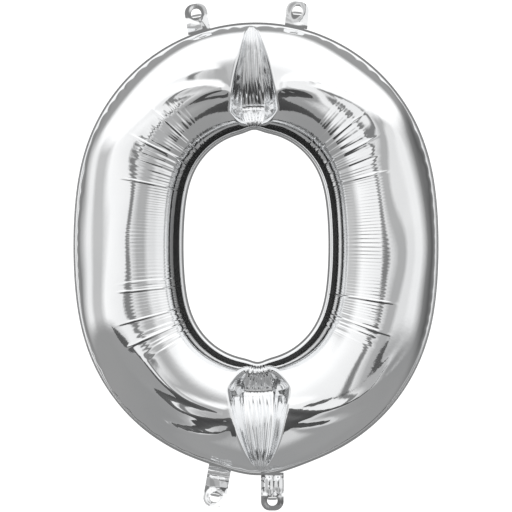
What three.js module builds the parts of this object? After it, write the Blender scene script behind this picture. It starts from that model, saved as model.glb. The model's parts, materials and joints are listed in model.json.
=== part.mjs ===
// A small air-filled foil balloon in the shape of a rounded ring (a number 0 or a letter O).
// Two ring-shaped foil panels are welded together along the outer edge, along the hole, and at two
// short tack welds, at the top and at the bottom. Three hanging tabs and a two-ply filling tail stand
// on the outer edge, each with a punched hole that keeps its cut flap. A flat valve of two clear films
// lies inside the neck, above the filling tail.
//
// Millimetres. +X right, +Z up, the front faces -Y. The seams lie in the plane y = 0.
// The origin is the centre of the whole object's box.
import * as THREE from 'three';

// ---- driving dimensions ----
// The ring's edges run at a constant distance round a slim upright ellipse, the spine.
const SPINE_HALF_WIDTH = 5.3;
const SPINE_HALF_HEIGHT = 42.3;
const SPINE_CENTRE_Z = 9.2;
const HOLE_EDGE = 60.3; // distance from the spine to the edge of the hole
const OUTER_EDGE = 160.2; // distance from the spine to the outer edge
const TUBE_HALF_DEPTH = 46; // from the seam plane to the crest of a panel

const FILM = 0.6; // wall of a panel, many times the real foil so that it is a solid
const PLY_GAP = 0.3; // clear space between two films that touch
const SEAM_WIDTH = 3; // flat welded margin along the hole and along the outer edge

// A tack weld is a short bar across the tube. The tube is pinched flat there.
const TACK_WELDS = [
  { x: -4.1, z: 149.1, halfLength: 15, reachX: 26, reachZ: 56 },
  { x: 3.6, z: -134.6, halfLength: 19, reachX: 32, reachZ: 60 },
];
const BAR_CORE = 0.7; // share of a weld bar that is fully flat
const PINCH_SHAPE = 1.8; // power of the curve that a panel follows up from a weld
// The edge stands out a little beyond each tack weld, because a flat tube is wider than a round one.
const EDGE_BULGES = [
  { angle: 90, height: 1.5, spread: 11 },
  { angle: -88, height: 5.5, spread: 12 },
];

const BULGE_SHAPE = 3; // power of the curve that carries a bulge of the edge into the panel

const RING_STEPS = 96; // stations round the ring
const FINE_STEPS = 3600; // short steps round the ring, by which its length is measured
const PINCH_DENSITY = 2.2; // how much closer together they stand at a tack weld
const ARC_STEPS = 10; // steps across the tube, from seam to seam

const TAB_WIDTH = 20.5;
const END_ROUNDNESS = 0.8; // corner radius of a tab's end, as a share of half its width
const ROOT_GAP = 0.5; // clear space between the ring's edge and a tab's root
const ROOT_STEPS = 4;
const TAB_FILM = 0.5;
const PUNCH_RADIUS = 4.7; // hole in a tab
const PUNCH_CHORD = 3.3; // distance from the hole's centre to its straight hinge side
const FLAP_CLEARANCE = 0.35; // kerf round the flap's free edge
const FLAP_HINGE_GAP = 0.5;
const FLAP_TILT = 50; // degrees that a flap leans back out of its hole
const CORNER_STEPS = 9; // segments of a rounded end

// angle: place on the outer edge, from +X towards +Z. lean: direction of the tab, from +Z towards +X.
// holeFromTip: distance from the centre of the punched hole to the tab's tip.
const TABS = [
  { name: 'top_left', angle: 108.6, lean: -10, length: 25, holeFromTip: 9.2 },
  { name: 'top_right', angle: 77, lean: 5, length: 22.2, holeFromTip: 8.6 },
  { name: 'bottom_left', angle: -101.6, lean: 190, length: 36, holeFromTip: 9.2 },
];
const FILL_TAIL = { angle: -84.9, lean: 180, length: 32.4, holeFromTip: 9 };
const TAIL_PLY = 0.3;

const VALVE_WIDTH = 18;
const VALVE_LENGTH = 44;
const VALVE_FILM = 0.3;
const VALVE_SETBACK = 4; // from the seam's inner side to the foot of the valve

const FOIL = { color: 0xd4d6d8, roughness: 0.12, metalness: 1 };
const CLEAR_FILM = { color: 0xe6ecef, roughness: 0.25, metalness: 0 };

// ---- the ring's plan ----
const radians = THREE.MathUtils.degToRad;

/** How far the outer edge stands out at this angle, beyond its constant distance. */
function edgeBulge(angle) {
  let sum = 0;
  for (const bulge of EDGE_BULGES) {
    const turn = angle - radians(bulge.angle);
    const away = Math.atan2(Math.sin(turn), Math.cos(turn)) / radians(bulge.spread);
    sum += bulge.height * Math.exp(-away * away);
  }
  return sum;
}

/** The point at this distance from the spine, in the direction of this angle. */
function ringPoint(angle, distance) {
  const cos = Math.cos(angle);
  const sin = Math.sin(angle);
  const reach = Math.hypot(SPINE_HALF_WIDTH * cos, SPINE_HALF_HEIGHT * sin);
  const x = (SPINE_HALF_WIDTH ** 2 * cos) / reach + distance * cos;
  const z = (SPINE_HALF_HEIGHT ** 2 * sin) / reach + distance * sin + SPINE_CENTRE_Z;
  return { x, z };
}

/** Angles that cut the middle line of the ring into lengths that are equal away from the welds. */
function stationAngles(count) {
  const middle = (HOLE_EDGE + OUTER_EDGE) / 2;
  const lengths = [0];
  let last = ringPoint(0, middle);
  for (let i = 1; i <= FINE_STEPS; i += 1) {
    const next = ringPoint((i / FINE_STEPS) * 2 * Math.PI, middle);
    const density = 1 + PINCH_DENSITY * (1 - openness(next.x, next.z));
    lengths.push(lengths[i - 1] + density * Math.hypot(next.x - last.x, next.z - last.z));
    last = next;
  }
  const angles = [];
  let i = 0;
  for (let k = 0; k < count; k += 1) {
    const target = (lengths[FINE_STEPS] * k) / count;
    while (lengths[i + 1] < target) i += 1;
    const part = (target - lengths[i]) / (lengths[i + 1] - lengths[i]);
    angles.push(((i + part) / FINE_STEPS) * 2 * Math.PI);
  }
  return angles;
}

/** Share of the tube's full depth at a point: 0 at a tack weld, 1 away from it. */
function openness(x, z) {
  let share = 1;
  for (const weld of TACK_WELDS) {
    const pastBar = Math.max(Math.abs(x - weld.x) - weld.halfLength * BAR_CORE, 0);
    const away = Math.hypot(pastBar / weld.reachX, (z - weld.z) / weld.reachZ);
    share *= 1 - Math.max(1 - away, 0) ** PINCH_SHAPE;
  }
  return share;
}

// ---- the panels ----
/** Points across one panel: u along the tube's width from hole to edge, rise off the seam plane. */
function panelSection() {
  const halfWidth = (OUTER_EDGE - HOLE_EDGE) / 2;
  const outerArc = halfWidth - SEAM_WIDTH;
  const innerArc = outerArc - FILM;
  const crest = TUBE_HALF_DEPTH - PLY_GAP / 2 - FILM;
  const near = PLY_GAP / 2;
  const far = near + FILM;
  const section = [{ u: -halfWidth, base: near, rise: 0 }];
  for (let i = 0; i <= ARC_STEPS; i += 1) {
    const turn = (Math.PI * i) / ARC_STEPS;
    section.push({ u: -innerArc * Math.cos(turn), base: near, rise: crest * Math.sin(turn) });
  }
  section.push({ u: halfWidth, base: near, rise: 0 });
  section.push({ u: halfWidth, base: far, rise: 0 });
  for (let i = ARC_STEPS; i >= 0; i -= 1) {
    const turn = (Math.PI * i) / ARC_STEPS;
    section.push({ u: -outerArc * Math.cos(turn), base: far, rise: crest * Math.sin(turn) });
  }
  section.push({ u: -halfWidth, base: far, rise: 0 });
  return section;
}

/** One foil panel, a thin bulged ring. side is -1 for the front and 1 for the back. */
function panelGeometry(side) {
  const section = panelSection();
  const middle = (HOLE_EDGE + OUTER_EDGE) / 2;
  const halfWidth = (OUTER_EDGE - HOLE_EDGE) / 2;
  const positions = [];
  for (const angle of stationAngles(RING_STEPS)) {
    for (const { u, base, rise } of section) {
      const outwards = (u + halfWidth) / (2 * halfWidth);
      const point = ringPoint(angle, middle + u + outwards ** BULGE_SHAPE * edgeBulge(angle));
      positions.push(point.x, side * (base + rise * openness(point.x, point.z)), point.z);
    }
  }
  const indices = [];
  const across = section.length;
  for (let i = 0; i < RING_STEPS; i += 1) {
    for (let j = 0; j < across; j += 1) {
      const a = i * across + j;
      const b = i * across + ((j + 1) % across);
      const c = ((i + 1) % RING_STEPS) * across + j;
      const d = ((i + 1) % RING_STEPS) * across + ((j + 1) % across);
      if (side < 0) indices.push(a, c, b, b, c, d);
      else indices.push(a, b, c, b, d, c);
    }
  }
  const geometry = new THREE.BufferGeometry();
  geometry.setAttribute('position', new THREE.Float32BufferAttribute(positions, 3));
  geometry.setIndex(indices);
  geometry.computeVertexNormals();
  return geometry;
}

// ---- tabs, flaps and valve ----
/** A flat plate from a shape drawn with x across and y along it, centred on y = middleY. */
function plate(shape, thickness, middleY) {
  const geometry = new THREE.ExtrudeGeometry(shape, {
    depth: thickness,
    bevelEnabled: false,
    curveSegments: CORNER_STEPS,
  });
  geometry.rotateX(Math.PI / 2);
  geometry.translate(0, middleY + thickness / 2, 0);
  return geometry;
}

/** The tab's outline: a root that follows the ring's edge, straight sides and a round end. */
function tabShape(spec) {
  const { length } = spec;
  const half = TAB_WIDTH / 2;
  const endRadius = half * END_ROUNDNESS;
  const shape = new THREE.Shape(rootLine(spec));
  shape.lineTo(half, length - endRadius);
  shape.absarc(half - endRadius, length - endRadius, endRadius, 0, Math.PI / 2, false);
  shape.lineTo(-half + endRadius, length);
  shape.absarc(-half + endRadius, length - endRadius, endRadius, Math.PI / 2, Math.PI, false);
  shape.closePath();
  return shape;
}

/** The point just outside the outer edge at this angle, where a tab may begin. */
function rootPoint(angle) {
  return ringPoint(angle, OUTER_EDGE + edgeBulge(angle) + ROOT_GAP);
}

/** Points along a tab's root, from its -x side to its +x side, in the tab's own frame. */
function rootLine(spec) {
  const lean = radians(spec.lean);
  const middle = radians(spec.angle);
  const foot = rootPoint(middle);
  const spread = TAB_WIDTH / 2 / OUTER_EDGE;
  const points = [];
  for (let i = -ROOT_STEPS; i <= ROOT_STEPS; i += 1) {
    const point = rootPoint(middle - (spread * i) / ROOT_STEPS);
    const x = point.x - foot.x;
    const z = point.z - foot.z;
    const across = x * Math.cos(lean) - z * Math.sin(lean);
    const along = x * Math.sin(lean) + z * Math.cos(lean);
    points.push(new THREE.Vector2(across, along));
  }
  return points;
}

/** A circle cut off straight on its lower side, drawn round (0, centreY). */
function cutCircle(PathClass, radius, chord, centreY) {
  const start = -Math.asin(chord / radius);
  const path = new PathClass();
  path.moveTo(radius * Math.cos(start), centreY - chord);
  path.absarc(0, centreY, radius, start, Math.PI - start, false);
  path.closePath();
  return path;
}

function foilMesh(name, geometry, look) {
  const mesh = new THREE.Mesh(geometry, new THREE.MeshStandardMaterial(look));
  mesh.name = name;
  return mesh;
}

/** A group that stands on the outer edge, with its z axis along the tab. */
function standOnEdge(spec) {
  const foot = rootPoint(radians(spec.angle));
  const group = new THREE.Group();
  group.position.set(foot.x, 0, foot.z);
  group.rotation.y = radians(spec.lean);
  return group;
}

/** The flap that stays in a punched hole, tilted back about its straight side. */
function punchFlap(name, spec) {
  const shape = cutCircle(THREE.Shape, PUNCH_RADIUS - FLAP_CLEARANCE, PUNCH_CHORD - FLAP_HINGE_GAP, 0);
  const hingeHeight = spec.length - spec.holeFromTip - PUNCH_CHORD + FLAP_HINGE_GAP;
  const geometry = plate(shape, TAB_FILM, 0);
  geometry.translate(0, 0, PUNCH_CHORD - FLAP_HINGE_GAP);
  const flap = foilMesh(name, geometry, FOIL);
  flap.position.z = hingeHeight;
  flap.rotation.x = -radians(FLAP_TILT);
  return flap;
}

/** A hanging tab with its punched hole and the flap in it. */
function hangingTab(spec) {
  const group = standOnEdge(spec);
  const shape = tabShape(spec);
  shape.holes.push(cutCircle(THREE.Path, PUNCH_RADIUS, PUNCH_CHORD, spec.length - spec.holeFromTip));
  group.add(foilMesh(`hang_tab_${spec.name}`, plate(shape, TAB_FILM, 0), FOIL));
  group.add(punchFlap(`hole_flap_${spec.name}`, spec));
  return group;
}

/** The filling tail: two plies with a gap between them, which a straw parts. */
function fillTail() {
  const group = standOnEdge(FILL_TAIL);
  const middle = (PLY_GAP + TAIL_PLY) / 2;
  for (const [name, side] of [['front', 1], ['back', -1]]) {
    const shape = tabShape(FILL_TAIL);
    const holeHeight = FILL_TAIL.length - FILL_TAIL.holeFromTip;
    shape.holes.push(cutCircle(THREE.Path, PUNCH_RADIUS, PUNCH_CHORD, holeHeight));
    // the tail's group is turned upside down about Y, which leaves front and back as they are
    group.add(foilMesh(`fill_tail_${name}_ply`, plate(shape, TAIL_PLY, -side * middle), FOIL));
  }
  group.add(punchFlap('hole_flap_fill_tail', FILL_TAIL));
  return group;
}

/** One clear film of the valve, a strip with a round inner end, inside the neck above the tail. */
function valveFilm(name, side) {
  const angle = radians(FILL_TAIL.angle);
  const foot = ringPoint(angle, OUTER_EDGE + edgeBulge(angle) - SEAM_WIDTH - VALVE_SETBACK);
  const half = VALVE_WIDTH / 2;
  const shape = new THREE.Shape();
  shape.moveTo(-half, 0);
  shape.lineTo(half, 0);
  shape.lineTo(half, VALVE_LENGTH - half);
  shape.absarc(0, VALVE_LENGTH - half, half, 0, Math.PI, false);
  shape.closePath();
  const film = foilMesh(name, plate(shape, VALVE_FILM, (side * (PLY_GAP + VALVE_FILM)) / 2), CLEAR_FILM);
  film.position.set(foot.x, 0, foot.z);
  return film;
}

// ---- the balloon ----
const balloon = new THREE.Group();
balloon.add(foilMesh('front_panel', panelGeometry(-1), FOIL));
balloon.add(foilMesh('back_panel', panelGeometry(1), FOIL));
for (const spec of TABS) balloon.add(hangingTab(spec));
balloon.add(fillTail());
balloon.add(valveFilm('valve_front_film', -1));
balloon.add(valveFilm('valve_back_film', 1));

export default balloon;
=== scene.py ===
"""The looks of a small silver foil balloon: a rounded ring with hanging tabs, a filling tail and a valve.

Each foil panel is half of an inflated tube that runs round the hole. It is laid down to the two tack welds,
and has the folds that such film takes: fine ribs beside the hole, gathers at the corners, long creases,
streaks beside the tack welds, pleats at the tack welds and the outer seam, and broad dents.

Frame: +X right, +Z up, the front faces -Y. The shapes are worked out in millimetres. Angles round the ring
are in degrees, from +X towards +Z. Places across the film are shares: 0 at the hole's seam, 1 at the outer
seam. A band is four places: where something starts, is full, starts to fade, and ends. Lumps are the lengths
over which random values change, in millimetres.
"""

import json
import math
from collections import namedtuple

import bpy
import numpy as np
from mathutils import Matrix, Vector


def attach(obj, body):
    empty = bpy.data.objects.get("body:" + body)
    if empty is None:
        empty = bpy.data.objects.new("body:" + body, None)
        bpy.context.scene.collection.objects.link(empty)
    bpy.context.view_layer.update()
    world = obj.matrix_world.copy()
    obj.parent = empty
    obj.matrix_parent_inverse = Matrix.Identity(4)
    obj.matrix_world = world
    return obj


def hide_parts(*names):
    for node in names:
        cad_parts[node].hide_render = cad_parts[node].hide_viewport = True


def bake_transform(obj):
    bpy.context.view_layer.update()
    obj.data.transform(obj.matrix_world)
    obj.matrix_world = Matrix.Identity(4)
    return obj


MM = 0.001

# ---- the camera, in metres ----
CAMERA_DISTANCE = 3.0
FRAME_WIDTH = 0.464  # what the camera sees across, at the balloon
CLIP_END = 100
SENSOR = 36  # in millimetres

# ---- the ring, in millimetres ----
SPINE_HALF_WIDTH = 5.3
SPINE_HALF_HEIGHT = 42.3
SPINE_CENTRE_Z = 9.2
SEAM_IN = 63.3  # from the spine to the seam round the hole
SEAM_OUT = 157.2  # from the spine to the outer seam
TUBE_HALF_DEPTH = 46
FLANGE = 3.0  # welded margin outside each seam
FLANGE_STEPS = (1.0, 0.45)  # where its two lines of points are, as shares of it
PLY_OFFSET = 0.12  # of each panel's middle surface, from the seam plane
RING_ROWS = 1536  # grid of a panel, round the ring and across the film
RING_COLUMNS = 61
SPINE_STATIONS = 36001  # where the ring's length is measured
TUBE_STATIONS = 2001  # where the film across the tube is measured
CROWDING = 3  # how much closer the rows are at a tack weld
CROWDING_SPREAD = 9
BOTTOM_POINT = 5.5  # how far the outer seam stands out below the bottom tack weld
BOTTOM_POINT_SPREAD = 12.0
HOLE_POINT = 2.5  # how far the hole is drawn out at the tack welds
HOLE_POINT_SPREAD = 7.0
HOLE_POINT_REACH = 0.3  # across the film

# ---- the tack welds and the pinches at them ----
Weld = namedtuple("Weld", "angle place half_width")  # the place is across the film, the width is the pinch's
TOP_WELD = Weld(91.5, 0.30, 21.0)
BOTTOM_WELD = Weld(-88.5, 0.36, 27.0)
WELDS = (TOP_WELD, BOTTOM_WELD)
OUTER_TAPER = 1.3  # how a pinch narrows towards the outer seam
INNER_TAPER = 0.8  # and towards the hole
LEAST_BORDER = 1  # half width in millimetres
PINCH_WALL = (0.45, 1.1)  # where its steep border is, as shares of its half width
OUTER_LOBE = 0.6  # height of the outer lobe, against half a circle
OUTER_LOBE_SHAPE = 0.7  # less than 1 for a flatter top and steeper ends
FLANK_DIP = 0.25  # how the tube goes down on either side, as a share
FLANK_LENGTH = 55.0
PINCH_PLEATS = 3.2  # in half the width of a pinch
PINCH_PLEAT_HEIGHT = 0.045  # for each mm of its half width
PINCH_PLEATED = (0.5, 0.85)  # the pleats fade out here, as shares of its half width
PINCH_SHAKE = 0.04  # how unevenly the pleats run, as a share of its half width
PINCH_SHAKE_LUMP = 15
PINCH_WANDER = 0.6  # how unevenly they follow each other, in radians
PINCH_WANDER_LUMP = 10
INNER_PLEATS = 0.5  # their height on the inner lobe, against the outer one

# ---- shallow folds that run out from each tack weld, on both sides ----
STREAKS = 7  # on each side
STREAK_WIDTH = 0.022  # across the film
STREAK_HEIGHT = 1.2
STREAK_LENGTHS = (32, 75)  # degrees
STREAK_START = (11, 17)  # degrees
STREAK_FADE = 14  # degrees
STREAK_PLACES = (0.04, 0.22)  # across the film, beyond the weld
STREAK_SLANTS = (0.001, 0.006)  # across the film, for each degree
STREAK_STRENGTHS = (0.3, 1)

# ---- the folds beside the hole, in millimetres and degrees ----
# They lie between these angles. Near the tack welds the film is smooth.
FOLDED = [(-28, 50), (128, 212)]
FOLDED_FADE = 3
SIDE_HEIGHTS = (50, 62)  # above and below the ring's centre, ribs give way to gathers
HOLE_FOLD_BAND = (0.02, 0.1, 0.48, 0.55)
HOLE_FOLD_VARIETY = 0.4  # how much their height varies, and within which limits
HOLE_FOLD_LIMITS = (0.4, 1.6)
HOLE_FOLD_LUMP = 25
RIB_PITCH = 3.1
RIB_HEIGHT = 0.12
CORNER_RIBS = 0.5  # their height at the corners, against that at the sides
RIB_UNEVENNESS = 0.15
RIB_WANDER = 0.7
RIB_LUMP = 12
GATHER_PITCH = 7.5
GATHER_HEIGHT = 0.35
GATHER_UNEVENNESS = 0.35
GATHER_WANDER = 0.9
GATHER_LUMP = 16
CREASES = [14, 28, 39, -9, -19, 139, 152, 168, 185, 186.5, 195, 204]
CREASE_WIDTH = 0.9
CREASE_HEIGHT = 0.5
CREASE_SLANT = 2.5  # how far their ends lie apart, for the whole film
CREASE_MIDDLE = 0.25  # the place across the film that they turn about
CREASE_WANDER = 0.5
CREASE_LUMP = 20
CREASE_STRENGTHS = (0.6, 1.2)
CREASE_BAND = (0, 0.06, 0.52, 0.62)

# ---- the broad dents and the pleats along the outer seam, in millimetres ----
DENT_WAVES = 16
DENT_LENGTHS = (45, 160)
DENT_HEIGHT = 3.0
DENT_SLANT = 4
DENT_BAND = (0.45, 0.65, 0.85, 1)
PLEAT_PITCH = 12
PLEAT_HEIGHT = 0.9
PLEAT_UNEVENNESS = 0.35
PLEAT_SHOWN = 0.4  # how strong they are on the whole, and how much that varies
PLEAT_VARIETY = 0.8
PLEAT_MOST = 1.5
PLEAT_LUMP = 60
PLEAT_BAND = (0.86, 0.95, 0.96, 1)

# ---- the tabs, in millimetres ----
TAB_WIDTH = 20.5
TAB_CORNER = 8.2
TAB_ROOT = -2.0  # where a tab starts, from its foot at the edge of the panels
SIDE_POINTS = 30  # of a tab's grid: up a side, round a corner, along the foot, from the hole to the edge
CORNER_POINTS = 15
FOOT_POINTS = 24
TAB_RINGS = 20
CORNER_GAP = 1  # between the last point of a side and the first of its corner
CRUMPLE_REACH = 8  # how far its creases are from the middle, at most
CRUMPLE_FOOT = 2  # and from the foot, at least
CRUMPLE_ROUNDING = 0.15  # how far a crease is rounded off
HOLE_CALM = (4.5, 9)  # the film is flat within this distance of the hole's centre
TIP_CALM = (-5, 1)  # the film goes over to a calmer tip here, measured from the flap's hinge
FOOT_CALM = (0, 5)  # the film is flat at the foot
ROOT_FOLD_AT = 7
ROOT_FOLD_WIDTH = 2.0
ROOT_FOLD_CURVE = 9
# strength is that of the creases, calm is how flat the tip is, from 0 to 1, and root_fold is the height of
# a fold across the root
TabLook = namedtuple("TabLook", "hole_to_tip creases strength calm root_fold")
TABS = {
    "top_left": TabLook(9.2, 9, 0.14, 0.9, 0.0),
    "top_right": TabLook(8.6, 8, 0.12, 0.3, 0.0),
    "bottom_left": TabLook(9.2, 14, 0.16, 0.0, 2.6),
}

# ---- the filling tail, in millimetres ----
TAIL = TabLook(9.0, 4, 0.12, 0.9, 0.0)
TAIL_GAP = 0.22  # of each ply, from the seam plane
TAIL_BULGE = 1.3
TAIL_BULGE_BAND = (0, 6, 11, 18)
TAIL_FOLD = 0.9  # the folds that run along it
TAIL_FOLD_TURN = 0.75  # radians for each millimetre
TAIL_FOLD_START = 1  # radians at the middle
TAIL_FOLD_BAND = (0, 5, 14, 20)

# ---- the punched holes and their cut flaps, in millimetres ----
PUNCH_RADIUS = 4.7
PUNCH_CHORD = 3.3  # from the hole's centre to its straight side
FLAP_CLEARANCE = 0.35
FLAP_HINGE_GAP = 0.5
FLAP_TILTS = (50, 84)  # degrees to the back, at the hinge and at the free edge
FLAP_SPAN = 0.97  # share of the arc that its grid takes in
FLAP_COLUMNS = 25
FLAP_ROWS = 11

# ---- the valve, in millimetres ----
VALVE_WIDTH = 18
VALVE_LENGTH = 44
VALVE_GAP = 0.3
VALVE_WAVE = 0.12
VALVE_WAVE_LENGTH = 3.5  # millimetres for each radian
VALVE_WAVE_START = 8
VALVE_COLUMNS = 19
VALVE_ROWS = 67
VALVE_TIP = 0.2  # the round end stops this much short of a point

# ---- the materials ----
FOIL_TINTS = ((0.84, 0.85, 0.86, 1), (0.91, 0.915, 0.92, 1))
FOIL_TINT_RANGE = (0.3, 0.7)
FOIL_ROUGHNESS = (0.036, 0.096)
CLOUD_SCALE = 14
CLOUD_DETAIL = 4
CRINKLE_SCALE = 260
CRINKLE_DETAIL = 3
CRINKLE_STRENGTH = 0.08
CRINKLE_DEPTH = 0.0004  # in metres
CLEAR_COLOUR = (0.9, 0.92, 0.93, 1)
CLEAR_ALPHA = 0.4
CLEAR_ROUGHNESS = (0.15, 0.35)
HAZE_SCALE = 300
HAZE_DETAIL = 2
BLACK = (0.01, 0.01, 0.01, 1)

# ---- the studio that the foil reflects ----
# Degrees round the balloon from the camera's side, and brightness. These are soft boxes with darker gaps
# between them, and the dark spot where the camera stands.
WALLS = [
    (-180, 0.3), (-135, 0.2), (-105, 0.8), (-95, 0.8), (-85, 0.5), (-65, 0.5), (-50, 0.9), (-7, 0.8),
    (-3, 0.2), (3, 0.2), (7, 0.7), (20, 0.4), (35, 0.4), (45, 0.7), (60, 0.7), (70, 0.8), (85, 0.8),
    (110, 0.2), (130, 0.1), (180, 0.3),
]
# the same, for what lies below the balloon at a slant
BELOW = [
    (-180, 0.28), (-100, 0.28), (-60, 0.28), (-35, 0.3), (-15, 0.4), (-8, 0.6), (8, 0.6),
    (15, 0.4), (35, 0.3), (62, 0.28), (100, 0.28), (180, 0.28),
]
CEILING = 1
CEILING_BEHIND = 0.3
STRAIGHT_BELOW = 0.3
# where each goes over into the next, as the share of a direction that points up, down or to the back
CEILING_EDGE = (0.2, 0.55)
BEHIND_EDGE = (0.2, 0.5)
BELOW_EDGE = (0.2, 0.42)
STRAIGHT_BELOW_EDGE = (0.75, 0.95)
STUDIO_BRIGHTNESS = 1.2

# ---- floor, flags and lamps, in metres and watts ----
FLOOR_HALF = 4.0
FLOOR_Z = -0.9
HOLE_FLAG_HALF = 0.064
HOLE_FLAG_HEIGHTS = (-0.082, 0.1)
HOLE_FLAG_Y = 0.058
LOWER_FLAG_HALF = 0.55
LOWER_FLAG_NEAR = -0.16
LOWER_FLAG_FAR = -0.8
LOWER_FLAG_Z = -0.27
LAMPS = {"key": ((-1.6, -2.2, 1.8), 60), "fill": ((2.0, -1.6, 0.6), 30)}
LAMP_SIZE = 1.6

FOLD_SEED = 4
TAB_SEED = 11

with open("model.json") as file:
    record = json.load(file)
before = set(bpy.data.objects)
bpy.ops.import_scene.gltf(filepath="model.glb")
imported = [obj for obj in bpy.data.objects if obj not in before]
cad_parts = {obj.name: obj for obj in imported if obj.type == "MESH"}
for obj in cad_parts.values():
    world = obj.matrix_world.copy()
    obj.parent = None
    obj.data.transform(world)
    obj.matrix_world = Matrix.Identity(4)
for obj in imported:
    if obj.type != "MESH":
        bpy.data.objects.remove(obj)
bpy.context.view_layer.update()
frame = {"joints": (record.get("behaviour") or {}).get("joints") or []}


# ---------------------------------------------------------------- camera
def make_camera():
    camera = bpy.data.cameras.new("camera")
    camera.sensor_width = SENSOR
    camera.lens = SENSOR * CAMERA_DISTANCE / FRAME_WIDTH
    camera.clip_end = CLIP_END
    holder = bpy.data.objects.new("camera", camera)
    holder.location = (0, -CAMERA_DISTANCE, 0)
    holder.rotation_euler = (math.radians(90), 0, 0)
    bpy.context.scene.collection.objects.link(holder)
    bpy.context.scene.camera = holder


# ---------------------------------------------------------------- small helpers
def rise(value, low, high):
    """0 below low, 1 above high, and a smooth step between them."""
    share = np.clip((value - low) / (high - low), 0, 1)
    return share * share * (3 - 2 * share)


def band(value, start, full, fade, end):
    """1 between full and fade, 0 before start and after end, with smooth steps."""
    return rise(value, start, full) * (1 - rise(value, fade, end))


def ring_point(angle, distance):
    """(x, z) at this distance from the spine, in the direction of this angle, which is in radians."""
    cos, sin = np.cos(angle), np.sin(angle)
    reach = np.hypot(SPINE_HALF_WIDTH * cos, SPINE_HALF_HEIGHT * sin)
    x = SPINE_HALF_WIDTH**2 * cos / reach + distance * cos
    z = SPINE_HALF_HEIGHT**2 * sin / reach + distance * sin + SPINE_CENTRE_Z
    return np.stack([x, z], -1)


def turn_from(angle, degrees):
    """How far the angles, in radians, are from a place on the ring, in degrees."""
    turn = angle - math.radians(degrees)
    return np.degrees(np.arctan2(np.sin(turn), np.cos(turn)))


def bell(angle, degrees, spread):
    """1 at a place on the ring, falling off on both sides."""
    return np.exp(-((turn_from(angle, degrees) / spread) ** 2))


# ---------------------------------------------------------------- the inflated ring
class Ring:
    """The grid of a panel: the plan of the inflated tube, and its depth before any fold."""

    def __init__(self):
        fine = np.linspace(0, 2 * np.pi, SPINE_STATIONS)
        step = np.hypot(*np.diff(ring_point(fine, (SEAM_IN + SEAM_OUT) / 2), axis=0).T)
        crowd = 1 + sum(CROWDING * bell(fine[1:], weld.angle, CROWDING_SPREAD) for weld in WELDS)
        run = np.r_[0, np.cumsum(step * crowd)]
        self.angle = np.interp(np.arange(RING_ROWS) / RING_ROWS * run[-1], run, fine)
        self.along = np.interp(self.angle, fine, np.r_[0, np.cumsum(step)])
        self.length = step.sum()
        self.across, distance, self.depth = self.section()
        self.plan = ring_point(self.angle[:, None], distance + self.bottom_point() + self.hole_point())

    def section(self):
        """Even stations along half an ellipse: share across the film, distance from the spine, depth."""
        turn = np.linspace(0, np.pi, TUBE_STATIONS)
        half = (SEAM_OUT - SEAM_IN) / 2
        x, y = -half * np.cos(turn), TUBE_HALF_DEPTH * np.sin(turn)
        run = np.r_[0, np.cumsum(np.hypot(np.diff(x), np.diff(y)))]
        across = np.linspace(0, 1, RING_COLUMNS)
        distance = np.interp(across * run[-1], run, x) + half + SEAM_IN
        return across, distance, np.interp(across * run[-1], run, y)

    def bottom_point(self):
        """How much further out the film lies below the bottom tack weld."""
        point = bell(self.angle, BOTTOM_WELD.angle, BOTTOM_POINT_SPREAD)[:, None]
        return BOTTOM_POINT * point * self.across**3

    def hole_point(self):
        """How much further out the edge of the hole lies at the tack welds."""
        point = sum(bell(self.angle, weld.angle, HOLE_POINT_SPREAD) for weld in WELDS)[:, None]
        return HOLE_POINT * point * (1 - rise(self.across, 0, HOLE_POINT_REACH))

    def pinch_border(self, weld):
        """How far the border of a pinch is from its middle line: most at the weld, none at the seams."""
        outwards = np.clip((self.across - weld.place) / (1 - weld.place), 0, 1)
        inwards = np.clip((weld.place - self.across) / weld.place, 0, 1)
        return weld.half_width * (1 - outwards**OUTER_TAPER) * (1 - inwards) ** INNER_TAPER

    def pinch_place(self, weld):
        """Distance from the middle line of a pinch, as a share of the distance of its border, and in mm."""
        offset = SEAM_IN + (SEAM_OUT - SEAM_IN) * (1 - np.cos(np.pi * self.across)) / 2
        away = np.radians(turn_from(self.angle, weld.angle))[:, None] * offset
        return away / np.maximum(self.pinch_border(weld), LEAST_BORDER), away

    def lobes_at(self, weld):
        """Heights of the inner and outer lobes of a pinch, each 1 at most."""
        inner = np.sin(np.pi * np.clip(self.across / weld.place, 0, 1))
        outer = np.sin(np.pi * np.clip((self.across - weld.place) / (1 - weld.place), 0, 1))
        return inner, np.abs(outer) ** OUTER_LOBE_SHAPE

    def pinched_depth(self):
        """Depth of the tube, laid down to the tack welds between steep, curved borders."""
        share = np.ones(self.plan.shape[:2])
        for weld in WELDS:
            out, away = self.pinch_place(weld)
            inner, outer = self.lobes_at(weld)
            outer = (1 - weld.place) * OUTER_LOBE * outer
            lobe = np.where(self.across < weld.place, weld.place * inner, outer)
            lobe = lobe / np.maximum(np.sin(np.pi * self.across), 1e-3)
            share = share * (lobe + (1 - lobe) * rise(np.abs(out), *PINCH_WALL))
            share = share * (1 - FLANK_DIP * np.exp(-((away / FLANK_LENGTH) ** 2)))
        return self.depth * share


def film_normals(grid, towards):
    """Unit normals of a grid that closes round the ring, out of the tube."""
    hoop = np.roll(grid, -1, 0) - np.roll(grid, 1, 0)
    normal = np.cross(hoop, np.gradient(grid, axis=1))
    normal *= towards * np.sign(normal[..., 1].sum())
    return normal / np.linalg.norm(normal, axis=-1, keepdims=True)


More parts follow.
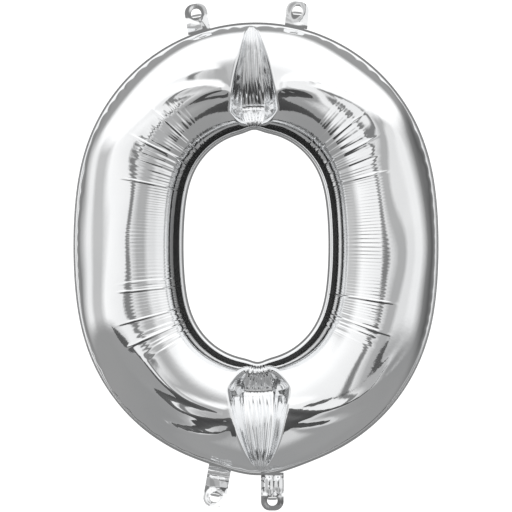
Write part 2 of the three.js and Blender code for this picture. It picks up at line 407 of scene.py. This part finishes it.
def panel_grid(ring, towards, random):
    """Points of one panel, with its folds and welded margins: towards -1 for the front, 1 for the back."""
    depth = towards * ring.pinched_depth()
    grid = np.stack([ring.plan[..., 0], depth, ring.plan[..., 1]], -1)
    grid = grid + film_normals(grid, towards) * all_folds(ring, random)[..., None]
    away = np.stack([np.cos(ring.angle), np.zeros(RING_ROWS), np.sin(ring.angle)], -1)[:, None]
    steps = np.array(FLANGE_STEPS)[None, :, None] * FLANGE
    whole = np.concatenate([grid[:, :1] - away * steps, grid, grid[:, -1:] + away * steps[:, ::-1]], 1)
    whole[..., 1] += towards * PLY_OFFSET
    return whole


# ---------------------------------------------------------------- folds, as heights over the film
def fold_phase(ring, length, unevenness, random, knots=120):
    """Phase of folds that are about this long, counted along the ring."""
    places = np.linspace(0, ring.length, knots)
    jitter = 1 + unevenness * np.interp(ring.along, places, random.normal(0, 1, knots))
    return 2 * np.pi * np.cumsum(jitter / length * np.gradient(ring.along))[:, None]


def wander(ring, length, random, lanes=7):
    """Random values over a sheet, in lumps about this long."""
    count = int(ring.length / length)
    values = random.normal(0, 1, (count, lanes))
    values[-1] = values[0]
    rows = np.linspace(0, ring.length, count)
    along = np.stack([np.interp(ring.along, rows, lane) for lane in values.T], 1)
    return np.stack([np.interp(ring.across, np.linspace(0, 1, lanes), row) for row in along])


def lobes(phase):
    """A row of rounded lobes with sharp valleys between them, level on the whole."""
    return np.abs(np.sin(phase / 2)) - 2 / math.pi


def folded(angle):
    """1 where the film beside the hole is folded, 0 where it is smooth."""
    share = 0
    for low, high in FOLDED:
        middle, half = (low + high) / 2, (high - low) / 2
        share = share + 1 - rise(np.abs(turn_from(angle, middle)), half - FOLDED_FADE, half + FOLDED_FADE)
    return share


def hole_folds(ring, random):
    """Ribs beside the hole at the sides, and gathers at the corners."""
    side = 1 - rise(np.abs(ring.plan[:, :1, 1] - SPINE_CENTRE_Z), *SIDE_HEIGHTS)
    loose = 1 + HOLE_FOLD_VARIETY * wander(ring, HOLE_FOLD_LUMP, random)
    loose = np.clip(loose, *HOLE_FOLD_LIMITS)
    phase = fold_phase(ring, RIB_PITCH, RIB_UNEVENNESS, random)
    ribs = np.sin(phase + RIB_WANDER * wander(ring, RIB_LUMP, random))
    phase = fold_phase(ring, GATHER_PITCH, GATHER_UNEVENNESS, random)
    gathers = lobes(phase + GATHER_WANDER * wander(ring, GATHER_LUMP, random))
    height = RIB_HEIGHT * (CORNER_RIBS + (1 - CORNER_RIBS) * side) * ribs
    height = height + GATHER_HEIGHT * (1 - side) * gathers
    return height * loose * folded(ring.angle)[:, None] * band(ring.across, *HOLE_FOLD_BAND)


def long_creases(ring, random):
    """Single creases from the hole to past the crest of the tube."""
    height = 0
    for degrees in CREASES:
        place = np.interp(math.radians(degrees) % (2 * np.pi), ring.angle, ring.along)
        slant = random.normal(0, CREASE_SLANT) * (ring.across - CREASE_MIDDLE)
        away = ring.along[:, None] - place - slant
        away = away - CREASE_WANDER * wander(ring, CREASE_LUMP, random)
        strength = random.uniform(*CREASE_STRENGTHS)
        height = height + strength * np.exp(-((away / CREASE_WIDTH) ** 2))
    return CREASE_HEIGHT * height * band(ring.across, *CREASE_BAND)


def dents(ring, random):
    """Broad shallow dents on the outer half."""
    depth = 0
    for _ in range(DENT_WAVES):
        waves = round(ring.length / random.uniform(*DENT_LENGTHS))
        phase = random.normal(0, DENT_SLANT) * ring.across + random.uniform(0, 2 * math.pi)
        wave = np.sin(2 * np.pi * waves * ring.along[:, None] / ring.length + phase)
        depth = depth + wave * random.normal(0, 1) / waves
    return DENT_HEIGHT * depth * band(ring.across, *DENT_BAND)


def seam_pleats(ring, random):
    """Small pleats along the outer seam, here and there."""
    strength = PLEAT_SHOWN + PLEAT_VARIETY * wander(ring, PLEAT_LUMP, random)
    strength = np.clip(strength, 0, PLEAT_MOST)
    pleat = lobes(fold_phase(ring, PLEAT_PITCH, PLEAT_UNEVENNESS, random))
    return PLEAT_HEIGHT * strength * pleat * band(ring.across, *PLEAT_BAND)


def pinch_pleats(ring, random):
    """Pleats that run along a pinch and come together at its two ends."""
    height = 0
    for weld in WELDS:
        out, _ = ring.pinch_place(weld)
        inner, outer = ring.lobes_at(weld)
        shaken = np.abs(out + PINCH_SHAKE * wander(ring, PINCH_SHAKE_LUMP, random))
        uneven = PINCH_WANDER * wander(ring, PINCH_WANDER_LUMP, random)
        phase = 2 * np.pi * PINCH_PLEATS * shaken + uneven
        inside = 1 - rise(np.abs(out), *PINCH_PLEATED)
        height = height + np.sin(phase) * inside * (outer + INNER_PLEATS * inner) * weld.half_width
    return PINCH_PLEAT_HEIGHT * height


def streak(ring, weld, side, random):
    """One shallow fold that runs out from a tack weld, to one side."""
    turn = side * turn_from(ring.angle, weld.angle)[:, None]
    line = weld.place + random.uniform(*STREAK_PLACES) + random.uniform(*STREAK_SLANTS) * turn
    end = random.uniform(*STREAK_LENGTHS)
    ridge = np.exp(-(((ring.across - line) / STREAK_WIDTH) ** 2))
    return random.uniform(*STREAK_STRENGTHS) * ridge * band(turn, *STREAK_START, end - STREAK_FADE, end)


def flank_streaks(ring, random):
    """Shallow folds that run out from each tack weld, along the tube."""
    height = 0
    for weld in WELDS:
        for side in (-1, 1):
            for _ in range(STREAKS):
                height = height + streak(ring, weld, side, random)
    return STREAK_HEIGHT * height


def all_folds(ring, random):
    makers = (hole_folds, long_creases, dents, seam_pleats, pinch_pleats, flank_streaks)
    return sum(make(ring, random) for make in makers)


# ---------------------------------------------------------------- meshes
def new_object(name, points, faces, material, smooth=True):
    """points in millimetres, faces as an array of quads."""
    mesh = bpy.data.meshes.new(name)
    mesh.vertices.add(len(points))
    mesh.vertices.foreach_set("co", (np.asarray(points, np.float32) * MM).ravel())
    mesh.loops.add(faces.size)
    mesh.loops.foreach_set("vertex_index", faces.astype(np.int32).ravel())
    mesh.polygons.add(len(faces))
    mesh.polygons.foreach_set("loop_start", np.arange(0, faces.size, faces.shape[1], dtype=np.int32))
    mesh.polygons.foreach_set("use_smooth", np.full(len(faces), smooth))
    mesh.update(calc_edges=True)
    mesh.validate()
    mesh.materials.append(material)
    made = bpy.data.objects.new(name, mesh)
    bpy.context.scene.collection.objects.link(made)
    return made


def grid_faces(rows, columns, closed):
    """Quads between the points of a grid, which may close on itself from the last row to the first."""
    i, j = np.meshgrid(np.arange(rows if closed else rows - 1), np.arange(columns - 1), indexing="ij")
    a, b = i * columns + j, i * columns + j + 1
    c, d = (i + 1) % rows * columns + j + 1, (i + 1) % rows * columns + j
    return np.stack([a, b, c, d], -1).reshape(-1, 4)


def film(name, grid, material, towards=-1, closed=True):
    """A single sheet on a grid of points. Its faces look to the front for -1, to the back for 1."""
    faces = grid_faces(*grid.shape[:2], closed)
    flat = grid.reshape(-1, 3)
    a, b, _, d = (flat[corner] for corner in faces.T)
    if np.cross(b - a, d - a)[:, 1].sum() * towards < 0:
        faces = faces[:, ::-1]
    return new_object(name, flat, faces, material)


# ---------------------------------------------------------------- materials
def new_material(name):
    material = bpy.data.materials.new(name)
    material.use_nodes = True
    return material, material.node_tree, material.node_tree.nodes["Principled BSDF"]


def noise_node(tree, scale, detail):
    """Noise in a piece's own coordinates."""
    place = tree.nodes.new("ShaderNodeTexCoord")
    noise = tree.nodes.new("ShaderNodeTexNoise")
    noise.inputs["Scale"].default_value = scale
    noise.inputs["Detail"].default_value = detail
    tree.links.new(place.outputs["Object"], noise.inputs["Vector"])
    return noise.outputs["Fac"]


def vary_roughness(tree, shader, value, low, high):
    """The roughness goes from low to high with this value."""
    gloss = tree.nodes.new("ShaderNodeMapRange")
    gloss.inputs["To Min"].default_value = low
    gloss.inputs["To Max"].default_value = high
    tree.links.new(value, gloss.inputs["Value"])
    tree.links.new(gloss.outputs["Result"], shader.inputs["Roughness"])


def silver_foil():
    """Mirror film, a little cloudy, with a fine crinkle."""
    material, tree, shader = new_material("silver_foil")
    shader.inputs["Metallic"].default_value = 1
    cloud = noise_node(tree, CLOUD_SCALE, CLOUD_DETAIL)
    vary_roughness(tree, shader, cloud, *FOIL_ROUGHNESS)
    tint = tree.nodes.new("ShaderNodeValToRGB")
    for element, position, colour in zip(tint.color_ramp.elements, FOIL_TINT_RANGE, FOIL_TINTS):
        element.position = position
        element.color = colour
    tree.links.new(cloud, tint.inputs["Fac"])
    tree.links.new(tint.outputs["Color"], shader.inputs["Base Color"])
    bump = tree.nodes.new("ShaderNodeBump")
    bump.inputs["Strength"].default_value = CRINKLE_STRENGTH
    bump.inputs["Distance"].default_value = CRINKLE_DEPTH
    crinkle = noise_node(tree, CRINKLE_SCALE, CRINKLE_DETAIL)
    tree.links.new(crinkle, bump.inputs["Height"])
    tree.links.new(bump.outputs["Normal"], shader.inputs["Normal"])
    return material


def clear_film():
    """Hazy see-through film."""
    material, tree, shader = new_material("clear_film")
    shader.inputs["Base Color"].default_value = CLEAR_COLOUR
    shader.inputs["Alpha"].default_value = CLEAR_ALPHA
    haze = noise_node(tree, HAZE_SCALE, HAZE_DETAIL)
    vary_roughness(tree, shader, haze, *CLEAR_ROUGHNESS)
    return material


# ---------------------------------------------------------------- pieces
def make_panels(foil):
    ring = Ring()
    random = np.random.default_rng(FOLD_SEED)
    for name, towards in (("front_panel", -1), ("back_panel", 1)):
        grid = panel_grid(ring, towards, random)
        piece = film(name + "_foil", grid, foil, towards)
        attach(piece, "envelope")
        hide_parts(name)


class Tab:
    """A die-cut tab: its foot, the way it points, and its heights above the foot, in millimetres."""

    def __init__(self, body, flap_bend, look):
        joints = {joint["name"]: np.array(joint["pos_m"]) / MM for joint in frame["joints"]}
        self.look = look
        self.foot = joints[body + "_bend"]
        reach = joints[flap_bend] - self.foot
        self.hinge = np.linalg.norm(reach)
        self.up = reach / self.hinge
        self.side = np.array([self.up[2], 0, -self.up[0]])
        self.hole = self.hinge + PUNCH_CHORD - FLAP_HINGE_GAP
        self.tip = self.hole + look.hole_to_tip

    def place(self, side, up, depth):
        """Points at these distances from the foot: across the tab, along it and to the back."""
        across = side[..., None] * self.side
        along = up[..., None] * self.up
        back = depth[..., None] * [0, 1, 0]
        return self.foot + across + along + back

    def outline(self):
        """Points up one side, round the tip, down the other side and along the foot."""
        half, corner = TAB_WIDTH / 2, TAB_CORNER
        turn = np.radians(np.linspace(0, 90, CORNER_POINTS))
        straight = np.linspace(TAB_ROOT, self.tip - corner - CORNER_GAP, SIDE_POINTS)
        across = np.r_[np.full(SIDE_POINTS, half), half - corner + corner * np.cos(turn)]
        along = np.r_[straight, self.tip - corner + corner * np.sin(turn)]
        foot = np.linspace(-half, half, FOOT_POINTS)[1:-1]
        across = np.r_[across, -across[::-1], foot]
        along = np.r_[along, along[::-1], foot * 0 + TAB_ROOT]
        return np.stack([across, along], -1)

    def grid(self):
        """(across, along) of a grid that runs round the punched hole and out to the tab's outline."""
        outline = self.outline()
        ray = outline - [0, self.hole]
        ray /= np.linalg.norm(ray, axis=1, keepdims=True)
        down = -ray[:, 1]
        to_chord = PUNCH_CHORD / np.maximum(down, 0.1)
        radius = np.where(down > 0, np.minimum(PUNCH_RADIUS, to_chord), PUNCH_RADIUS)
        rim = ray * radius[:, None] + [0, self.hole]
        share = np.linspace(0, 1, TAB_RINGS)[None, :, None]
        grid = rim[:, None] * (1 - share) + outline[:, None] * share
        return grid[..., 0], grid[..., 1]

    def crumple(self, across, along, random):
        """Depths of the facets and creases of film that has been crushed. Flat at the foot and the hole."""
        depth = 0
        for _ in range(self.look.creases):
            turn = random.uniform(0, math.pi)
            off = (across - random.uniform(-CRUMPLE_REACH, CRUMPLE_REACH)) * math.cos(turn)
            off = off + (along - random.uniform(CRUMPLE_FOOT, self.hole)) * math.sin(turn)
            depth = depth + random.uniform(-1, 1) * np.hypot(off, CRUMPLE_ROUNDING)
        from_hole = np.hypot(across, along - self.hole)
        depth = self.look.strength * (depth - depth.mean()) * rise(from_hole, *HOLE_CALM)
        start, end = (self.hinge + past for past in TIP_CALM)
        depth = depth * (1 - self.look.calm * rise(along, start, end))
        root_fold = self.look.root_fold * np.exp(-(((along - ROOT_FOLD_AT) / ROOT_FOLD_WIDTH) ** 2))
        depth = depth + root_fold * np.cos(across / ROOT_FOLD_CURVE)
        return depth * rise(along, *FOOT_CALM)


def bend_with(piece):
    """Bakes the piece's placement into its mesh. The film's foot is where the tab's joint is, but nothing
    bends it there.
    """
    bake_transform(piece)


def flap_grid(tab):
    """Points of the cut flap, from its hinge to its round edge, curled to the back."""
    radius, drop = PUNCH_RADIUS - FLAP_CLEARANCE, PUNCH_CHORD - FLAP_HINGE_GAP
    columns, rows = np.linspace(-FLAP_SPAN, FLAP_SPAN, FLAP_COLUMNS), np.linspace(0, 1, FLAP_ROWS)
    share, out = np.meshgrid(columns, rows, indexing="ij")
    turn = math.pi / 2 - share * (math.pi / 2 + math.asin(drop / radius))
    across = (1 - out) * share * math.sqrt(radius**2 - drop**2) + out * radius * np.cos(turn)
    run = out * (radius * np.sin(turn) + drop)
    low, high = FLAP_TILTS
    tilt = np.radians(low + (high - low) / 2 * run / (radius + drop))
    return tab.place(across, tab.hinge + run * np.cos(tilt), run * np.sin(tilt))


def make_flap(name, tab, body, foil):
    """The cut flap that stays in a punched hole."""
    piece = film(name + "_foil", flap_grid(tab), foil, closed=False)
    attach(piece, body)
    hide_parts(name)
    return piece


def make_hanging_tab(place, foil, random):
    tab = Tab(place + "_tab", place + "_flap_bend", TABS[place])
    across, along = tab.grid()
    depth = tab.crumple(across, along, random)
    piece = film(f"hang_tab_{place}_foil", tab.place(across, along, depth), foil)
    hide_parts("hang_tab_" + place)
    bend_with(piece)
    flap = make_flap("hole_flap_" + place, tab, place + "_flap", foil)


def make_filling_tail(foil, random):
    """Two plies that lie together at the tip and bulge apart at the foot."""
    tab = Tab("filling_tail", "tail_flap_bend", TAIL)
    across, along = tab.grid()
    folds = TAIL_FOLD * band(along, *TAIL_FOLD_BAND) * np.cos(across * TAIL_FOLD_TURN + TAIL_FOLD_START)
    shared = tab.crumple(across, along, random) + folds
    bulge = TAIL_BULGE * (1 - (2 * across / TAB_WIDTH) ** 2) * band(along, *TAIL_BULGE_BAND)
    flap = make_flap("hole_flap_fill_tail", tab, "tail_flap", foil)
    for name, sign in (("fill_tail_front_ply", -1), ("fill_tail_back_ply", 1)):
        depth = shared + sign * (TAIL_GAP + bulge)
        piece = film(name + "_foil", tab.place(across, along, depth), foil, sign)
        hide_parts(name)
        bend_with(piece)


def make_valve(clear):
    """Two strips of clear film that lie against each other inside the neck."""
    foot = [joint["pos_m"] for joint in frame["joints"] if joint["name"] == "valve_front_open"][0]
    start = np.array([foot[0], 0, foot[2]]) / MM
    round_end = VALVE_LENGTH - VALVE_WIDTH / 2
    columns, rows = np.linspace(-1, 1, VALVE_COLUMNS), np.linspace(0, VALVE_LENGTH - VALVE_TIP, VALVE_ROWS)
    share, up = np.meshgrid(columns, rows, indexing="ij")
    past = np.clip((up - round_end) / (VALVE_WIDTH / 2), 0, 1)
    across = share * VALVE_WIDTH / 2 * np.sqrt(1 - past**2)
    for name, sign in (("valve_front", -1), ("valve_back", 1)):
        wave = VALVE_WAVE * (1 + np.sin(up / VALVE_WAVE_LENGTH + sign)) * rise(up, 0, VALVE_WAVE_START)
        grid = np.stack([start[0] + across, sign * (VALVE_GAP + wave), start[2] + up], -1)
        piece = film(name + "_strip", grid, clear, sign, closed=False)
        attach(piece, name)
        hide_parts(name + "_film")


# ---------------------------------------------------------------- studio
def grey(brightness):
    return (brightness, brightness, brightness, 1)


class LightNodes:
    """Makes the world's nodes. The methods take outputs or plain values. All but feed return an output."""

    def __init__(self, tree):
        self.tree = tree

    def feed(self, socket, value):
        """Link an output to this socket, or set a plain value on it."""
        if isinstance(value, bpy.types.NodeSocket):
            self.tree.links.new(value, socket)
        else:
            socket.default_value = value

    def maths(self, kind, first, second):
        node = self.tree.nodes.new("ShaderNodeMath")
        node.operation = kind
        self.feed(node.inputs[0], first)
        self.feed(node.inputs[1], second)
        return node.outputs[0]

    def step(self, value, low, high):
        """0 below low, 1 above high, and a smooth step between them."""
        node = self.tree.nodes.new("ShaderNodeMapRange")
        node.interpolation_type = "SMOOTHSTEP"
        node.inputs["From Min"].default_value = low
        node.inputs["From Max"].default_value = high
        self.feed(node.inputs["Value"], value)
        return node.outputs["Result"]

    def ramp(self, value, stops):
        """Brightness by direction. The first and last stops are the ramp's own ends."""
        node = self.tree.nodes.new("ShaderNodeValToRGB")
        elements = node.color_ramp.elements
        elements[0].color = grey(stops[0][1])
        elements[-1].color = grey(stops[-1][1])
        for degrees, brightness in stops[1:-1]:
            elements.new((degrees + 180) / 360).color = grey(brightness)
        self.feed(node.inputs["Fac"], value)
        return node.outputs["Color"]

    def mix(self, share, first, second):
        """The first where share is 0, the second where it is 1."""
        node = self.tree.nodes.new("ShaderNodeMix")
        node.data_type = "RGBA"
        self.feed(node.inputs[0], share)
        self.feed(node.inputs[6], first)
        self.feed(node.inputs[7], second)
        return node.outputs[2]


def studio_light(nodes):
    """Brightness by direction: walls, ceiling, and what lies below at a slant and straight down."""
    place = nodes.tree.nodes.new("ShaderNodeTexCoord")
    axes = nodes.tree.nodes.new("ShaderNodeSeparateXYZ")
    nodes.feed(axes.inputs[0], place.outputs["Generated"])
    x, y, z = axes.outputs
    # from 0 to 1 round the balloon: 0.5 is the camera's side, more is to the right
    round_it = nodes.maths("ARCTAN2", x, nodes.maths("MULTIPLY", y, -1.0))
    share = nodes.maths("ADD", nodes.maths("MULTIPLY", round_it, 0.5 / math.pi), 0.5)
    low = nodes.maths("MULTIPLY", z, -1.0)
    ceiling = nodes.mix(nodes.step(y, *BEHIND_EDGE), grey(CEILING), grey(CEILING_BEHIND))
    upper = nodes.mix(nodes.step(z, *CEILING_EDGE), nodes.ramp(share, WALLS), ceiling)
    straight = nodes.step(low, *STRAIGHT_BELOW_EDGE)
    lower = nodes.mix(straight, nodes.ramp(share, BELOW), grey(STRAIGHT_BELOW))
    return nodes.mix(nodes.step(low, *BELOW_EDGE), upper, lower)


def make_world():
    """The studio for reflections and diffuse light, and plain white for the camera."""
    world = bpy.data.worlds.new("studio")
    bpy.context.scene.world = world
    world.use_nodes = True
    tree = world.node_tree
    tree.nodes.clear()
    nodes = LightNodes(tree)
    seen = tree.nodes.new("ShaderNodeLightPath").outputs["Is Camera Ray"]
    background = tree.nodes.new("ShaderNodeBackground")
    output = tree.nodes.new("ShaderNodeOutputWorld")
    nodes.feed(background.inputs["Color"], nodes.mix(seen, studio_light(nodes), grey(1)))
    background.inputs["Strength"].default_value = STUDIO_BRIGHTNESS
    nodes.feed(output.inputs["Surface"], background.outputs[0])


def flat_card(name, corners, material):
    """A single square of four corners, in metres."""
    return new_object(name, np.array(corners) / MM, np.array([[0, 1, 2, 3]]), material, smooth=False)


def make_floor():
    half, z = FLOOR_HALF, FLOOR_Z
    corners = [(-half, -half, z), (half, -half, z), (half, half, z), (-half, half, z)]
    floor = flat_card("floor", corners, new_material("pale_floor")[0])
    floor.visible_glossy = False


def make_flag(name, corners):
    """A black card, which only the foil reflects."""
    material, _, shader = new_material("black_card")
    shader.inputs["Base Color"].default_value = BLACK
    flag = flat_card(name, corners, material)
    flag.visible_camera = False
    flag.visible_shadow = False
    flag.visible_diffuse = False


def make_flags():
    """One behind the hole, which darkens the walls of the hole, and one below the balloon's lower half."""
    x, y = HOLE_FLAG_HALF, HOLE_FLAG_Y
    low, high = HOLE_FLAG_HEIGHTS
    make_flag("hole_flag", [(-x, y, low), (x, y, low), (x, y, high), (-x, y, high)])
    x, z, near, far = LOWER_FLAG_HALF, LOWER_FLAG_Z, LOWER_FLAG_NEAR, LOWER_FLAG_FAR
    middle = (near + far) / 2
    make_flag("lower_flag", [(-x, middle, z), (0, far, z), (x, middle, z), (0, near, z)])


def make_lights():
    for name, (location, power) in LAMPS.items():
        lamp = bpy.data.lights.new(name, "AREA")
        lamp.size = LAMP_SIZE
        lamp.energy = power
        holder = bpy.data.objects.new(name, lamp)
        holder.location = location
        holder.rotation_euler = (-Vector(location)).to_track_quat("-Z", "Y").to_euler()
        holder.visible_glossy = False
        bpy.context.scene.collection.objects.link(holder)


make_camera()
bpy.context.scene.view_settings.view_transform = "Standard"
make_world()
make_lights()
make_floor()
make_flags()
foil = silver_foil()
make_panels(foil)
tab_random = np.random.default_rng(TAB_SEED)
for place in TABS:
    make_hanging_tab(place, foil, tab_random)
make_filling_tail(foil, tab_random)
make_valve(clear_film())
